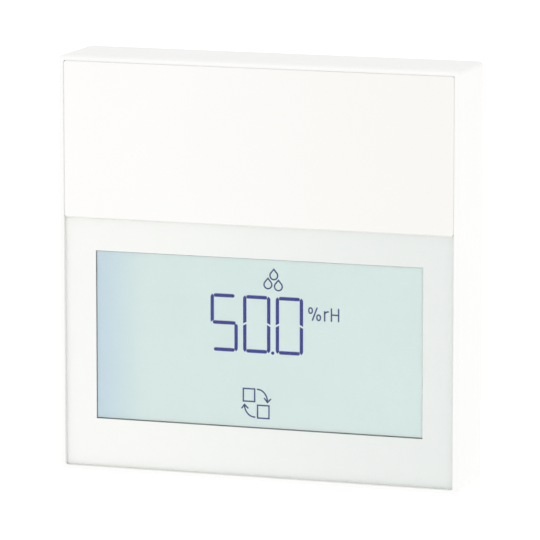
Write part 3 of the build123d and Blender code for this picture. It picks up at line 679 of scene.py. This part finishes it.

# %% [markdown]
# ## Fine lines of the front
# The joints round the panels are hair-thin and pale, because a bead of white adhesive rises in them
# nearly to the front; between the two panels it stays lower, and the line is darker. A thin dark
# ring just in front of the polariser, along the window's edge, is painted shade: it stands in for
# the shade that falls just inside the window. Left as bare gaps, the joints would show black, so
# the bead is a real ribbon along them, as the painted shade line is along the window.

# %% Joint bead
upper_box, lens_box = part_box("upper_panel"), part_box("display_lens")
bead_back, bead_front, bead_width = 18.96, 19.86, 0.13
divide_front, divide_width, divide_inset = bead_front - 0.24, 0.22, 0.1
half_joint = 0.075
left, low = lens_box[0].x / MM - half_joint, lens_box[0].z / MM - half_joint
right, high = upper_box[1].x / MM + half_joint, upper_box[1].z / MM + half_joint
divide = (lens_box[1].z + upper_box[0].z) / 2 / MM
divide_path = [(left + divide_inset, divide), (right - divide_inset, divide)]
bead = [
    ribbon(box_path(left, high, right, low), bead_width, bead_back, bead_front, closed=True),
    ribbon(divide_path, divide_width, bead_back, divide_front, round_ends=False),
]
bead_white = moulding("bead_white", (0.80, 0.80, 0.78), 0.0003, 0.000004, 0.5)
piece("joint_bead", bead, bead_white, "front_cover")

# %% Painted shade line inside the window
# A dark ring just in front of the polariser: painted shade along the inside of the window.
window_half, window_top, window_low = 40.6, 3.425, -37.1
shade_line_width, shade_line_back, shade_line_front = 0.3, polariser_front + 0.05, polariser_front + 0.08
shade_line_path = box_path(-window_half, window_top, window_half, window_low)
painted_shade_line = ribbon(shade_line_path, shade_line_width, shade_line_back, shade_line_front, closed=True)
shade_line_grey = moulding("shade_line_grey", (0.22, 0.24, 0.24), 0.0003, 0.000002, 0.5, clouds=0.05)
piece("window_painted_shade", [painted_shade_line], shade_line_grey, "front_cover")

# %% [markdown]
# ## Boards
# A circuit board is green because of its solder mask. Under the mask, copper tracks show as a
# lighter green and stand up a little. No one follows single tracks here, so the finish lays a
# grid over the board and throws a die for each cell, which fills the board with plausible runs
# at no cost in shape.

# %% Solder mask
track_pitch, track_half = 0.00127, 0.14
upright_below, level_above = 0.42, 0.5
track_rise = 0.00003


def solder_mask(name, colour, copper):
    """Tracks as a tile pattern: the whole part of the place over the pitch names a cell, and a
    die for that cell says whether it holds an upright run, a level run or nothing."""
    finish = Finish(name, specular=0.5, coat_weight=0.3, coat_roughness=0.1)
    x, z = finish.axis("x") / track_pitch, finish.axis("z") / track_pitch
    cell_x, cell_z = x.floor(), z.floor()
    inside_x, inside_z = x - cell_x, z - cell_z
    cell = finish.node("CombineXYZ", None, {0: cell_x, 1: cell_z})
    die = finish.node("TexWhiteNoise", {"noise_dimensions": "2D"}, {"Vector": cell})
    upright = (inside_x.away_from(0.5) < track_half) * (die < upright_below)
    level = (inside_z.away_from(0.5) < track_half) * (die > level_above)
    track = upright.above(level)
    cloud = finish.noise(0.01)
    plain = finish.mix(cloud, shade(colour, 0.85), colour)
    finish.feed("Base Color", finish.mix(track, plain, copper))
    finish.feed("Roughness", cloud * 0.1 + 0.28)
    return finish.bump(track, track_rise)


board_green, track_green = (0.018, 0.13, 0.06), (0.035, 0.21, 0.09)
terminal_green = solder_mask("terminal_board_green", board_green, track_green)
display_green = solder_mask("display_board_green", board_green, track_green)
print("tracks every", round(track_pitch / MM, 2), "mm")

# %% [markdown]
# ## Print and pads
# White outlines printed on the mask show where each part sits, and bare tinned rings lie under
# the screw heads. Both are worked out from the boxes of the parts that the CAD placed, so they
# can't drift away from them: a point is on an outline when its distance outside the part's box
# is the margin, and on a ring when it is near enough to a screw.

# %% Print of the boards
print_margin, print_width, ring_margin = 0.0007, 0.0002, 0.0004
print_white, pad_tin = (0.75, 0.75, 0.72), (0.72, 0.70, 0.62)
terminal_parts = (
    "terminal_block", "dip_switch_body", "socket_header", "supply_capacitor", "supply_inductor",
    "regulator", "output_driver", "humidity_sensor",
)
display_parts = ("microcontroller", "pin_header")


def middle(node):
    """The centre and the half size of a node in the front view, in metres."""
    low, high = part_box(node)
    centre = (low.x + high.x) / 2, (low.z + high.z) / 2
    return centre, ((high.x - low.x) / 2, (high.z - low.z) / 2)


def board_print(finish, parts, screws):
    """White outlines printed round the parts of a board, and bare tin rings round its screws."""
    x, z = finish.axis("x"), finish.axis("z")
    outlines = None
    for part in parts:
        (centre_x, centre_z), (half_x, half_z) = middle(part)
        over = (x.away_from(centre_x) - half_x).above(z.away_from(centre_z) - half_z)
        line = over.away_from(print_margin) < print_width / 2
        outlines = outlines.above(line) if outlines else line
    (_, screw_z), (reach, screw_radius) = middle(screws)
    aside = x.absolute().away_from(reach - screw_radius)
    rise = z.away_from(screw_z)
    ring = (aside * aside + rise * rise) < (screw_radius + ring_margin) ** 2
    printed_base = finish.mix(outlines, finish.fed("Base Color"), print_white)
    finish.feed("Base Color", finish.mix(ring, printed_base, pad_tin))
    return finish.feed("Metallic", ring)


wear("terminal_board", board_print(terminal_green, terminal_parts, "board_screws"))
wear("display_board", board_print(display_green, display_parts, "display_screws"))
print("parts outlined on the terminal board:", len(terminal_parts))

# %% [markdown]
# ## Screws, cages and blades
# The clamps are zinc plated steel and their blades tinned brass. Plating follows the marks of
# the wire or sheet below it, so fine noise drawn out along one axis goes into the roughness and
# the relief, and slow noise clouds the colour. One finish serves all the plated pieces, since
# they come out of one bath.


# %% Metals
def metal(name, colour, roughness, brush):
    """Plated metal: fine brush marks in the roughness and relief, with cloudy plating."""
    finish = Finish(name, metallic=1.0)
    cloud = finish.noise(0.002, detail=3.0)
    marks = finish.noise(0.0002, stretch=brush)
    finish.feed("Base Color", finish.mix(cloud, shade(colour, 0.85), colour))
    finish.feed("Roughness", marks * 0.15 + (cloud * 0.1 + roughness))
    return finish.bump(marks, 0.000004)


clamp_count, slider_count = 6, 4
zinc = metal("zinc_plate", (0.70, 0.71, 0.72), 0.22, brush=(1, 1, 0.15))
tinned_brass = metal("tinned_brass", (0.78, 0.73, 0.55), 0.25, brush=(1, 0.2, 1))
for number in range(1, clamp_count + 1):
    wear(f"clamp_screw_{number}", zinc)
    wear(f"clamp_cage_{number}", zinc)
wear("board_screws", zinc)
wear("display_screws", zinc)
wear("terminal_pins", tinned_brass)
print("dressed so far:", len(dressed))

# %% [markdown]
# ## Housings of the connectors
# The terminal block, the setting switch and the socket are moulded like the housing, only in
# darker plastics and with a coarser grain for their size, so the same function makes them.

# %% Block, switch and socket
terminal_grey = moulding("terminal_grey", (0.11, 0.13, 0.15), 0.0005, 0.00001, 0.42)
switch_red = moulding("switch_red", (0.42, 0.03, 0.025), 0.0004, 0.000008, 0.35)
header_black = moulding("header_black", (0.025, 0.025, 0.026), 0.0004, 0.000008, 0.4, clouds=0.1)
wear("terminal_block", terminal_grey)
wear("dip_switch_body", switch_red)
wear("socket_header", header_black)
for number in range(1, slider_count + 1):
    slider = moulding(f"slider_white_{number}", (0.80, 0.80, 0.78), 0.0003, 0.000004, 0.35)
    wear(f"dip_slider_{number}", slider)
print("dressed so far:", len(dressed))

# %% [markdown]
# ## Black parts with bare metal
# A chip, a pin header and a capacitor are each one node of two materials: black plastic and
# bare metal. The mesh could be split and each half given its own slot. A mask worked out from
# the place on the piece does the same without touching the CAD shape: it mixes the metal's
# colour in, lowers the roughness and turns the shader metallic.

# %% Chips
metal_roughness = 0.25
foot_reach, dot_inset, dot_radius = 0.0009, 0.0009, 0.0003
foot_tin, dot_grey = (0.70, 0.71, 0.70), (0.13, 0.13, 0.13)


def two_part(name, colour, grain, roughness, is_metal, metal_colour):
    """A black moulding with bare metal where the mask says so."""
    finish = moulding(name, colour, grain, 0.000006, roughness, clouds=0.1)
    mask = is_metal(finish)
    rough = finish.fed("Roughness") - mask * (roughness - metal_roughness)
    finish.feed("Base Color", finish.mix(mask, finish.fed("Base Color"), metal_colour))
    finish.feed("Roughness", rough)
    return finish.feed("Metallic", mask)


def chip(node):
    """A chip: black body, tinned feet beside it, and a shallow pale dot at its first foot."""
    (centre_x, centre_z), (half_x, half_z) = middle(node)
    body_half = half_x - foot_reach

    def feet(finish):
        return finish.axis("x").away_from(centre_x) > body_half

    finish = two_part(node + "_black", (0.028, 0.028, 0.03), 0.0002, 0.45, feet, foot_tin)
    aside = finish.axis("x").away_from(centre_x - body_half + dot_inset)
    rise = finish.axis("z").away_from(centre_z + half_z - dot_inset)
    dot = (aside * aside + rise * rise) < dot_radius**2
    return finish.feed("Base Color", finish.mix(dot, finish.fed("Base Color"), dot_grey))


for node in ("regulator", "output_driver", "microcontroller"):
    wear(node, chip(node))
print("dressed so far:", len(dressed))

# %% Pin header
skin = 0.0001
insulator_front = -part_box("display_board")[1].y
insulator_back = -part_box("socket_header")[0].y
pin_gold = (0.83, 0.62, 0.27)


def bare_pins(finish):
    """The pins show on both sides of the insulator between the two boards."""
    depth = 0 - finish.axis("y")
    return (depth < insulator_back).above(depth > insulator_front + skin)


pin_black = two_part("pin_header_black", (0.025, 0.025, 0.026), 0.0004, 0.4, bare_pins, pin_gold)
wear("pin_header", pin_black)
print("insulator from", round(insulator_back, 4), "to", round(insulator_front, 4), "m")

# %% Capacitor
(can_x, _), (can_half, _) = middle("supply_capacitor")
can_low, can_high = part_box("supply_capacitor")
base_thickness, segment_share = 0.00095, 0.45
can_end, base_front = -can_low.y, -can_high.y + base_thickness
segment_from = can_x - can_half * segment_share
aluminium = (0.80, 0.81, 0.82)


def can_marks(finish):
    """Everything is bare aluminium but the base and the dark segment printed on the can's end."""
    depth = 0 - finish.axis("y")
    segment = (finish.axis("x") < segment_from) * (depth > can_end - skin)
    return (1 - segment) * (depth > base_front)


can_two_part = two_part("can_two_part", (0.03, 0.03, 0.035), 0.0003, 0.4, can_marks, aluminium)
wear("supply_capacitor", can_two_part)
print("the can stands", round((can_end - base_front) / MM, 2), "mm above its base")

# %% [markdown]
# ## The last small pieces
# Ferrite, the sensing element and its filter cap, the grey tapes behind the panels, the rubbery
# contact strip and the row of lamps are all matt and even. Each is a moulding with its own
# colour and grain.

# %% Sensor, tapes and strips
tape_grey = moulding("tape_grey", (0.45, 0.45, 0.45), 0.0004, 0.00002, 0.7, clouds=0.05)
small_finishes = {
    "supply_inductor": moulding(
        "ferrite_grey", (0.07, 0.07, 0.075), 0.0003, 0.00002, 0.55, clouds=0.1
    ),
    "humidity_sensor": moulding("sensor_white", (0.75, 0.75, 0.73), 0.0003, 0.000004, 0.4),
    "sensor_filter_cap": moulding("filter_white", (0.78, 0.78, 0.78), 0.0003, 0.00001, 0.5),
    "panel_adhesive": tape_grey,
    "lens_adhesive": tape_grey,
    "contact_strip": moulding(
        "elastomer_grey", (0.16, 0.16, 0.17), 0.0003, 0.00001, 0.6, clouds=0.05
    ),
    "led_strip": moulding("lamp_white", (0.85, 0.82, 0.66), 0.0004, 0.000004, 0.35),
}
for node, finish in small_finishes.items():
    wear(node, finish)
print("dressed in all:", len(dressed))

# %% [markdown]
# ## Nodes without a finish
# Nothing here changes the real size of the model. The last cell prints the CAD nodes that got no
# finish.

# %% List the nodes left bare
left_bare = sorted(set(nodes) - dressed)
print("nodes without a finish:", left_bare)
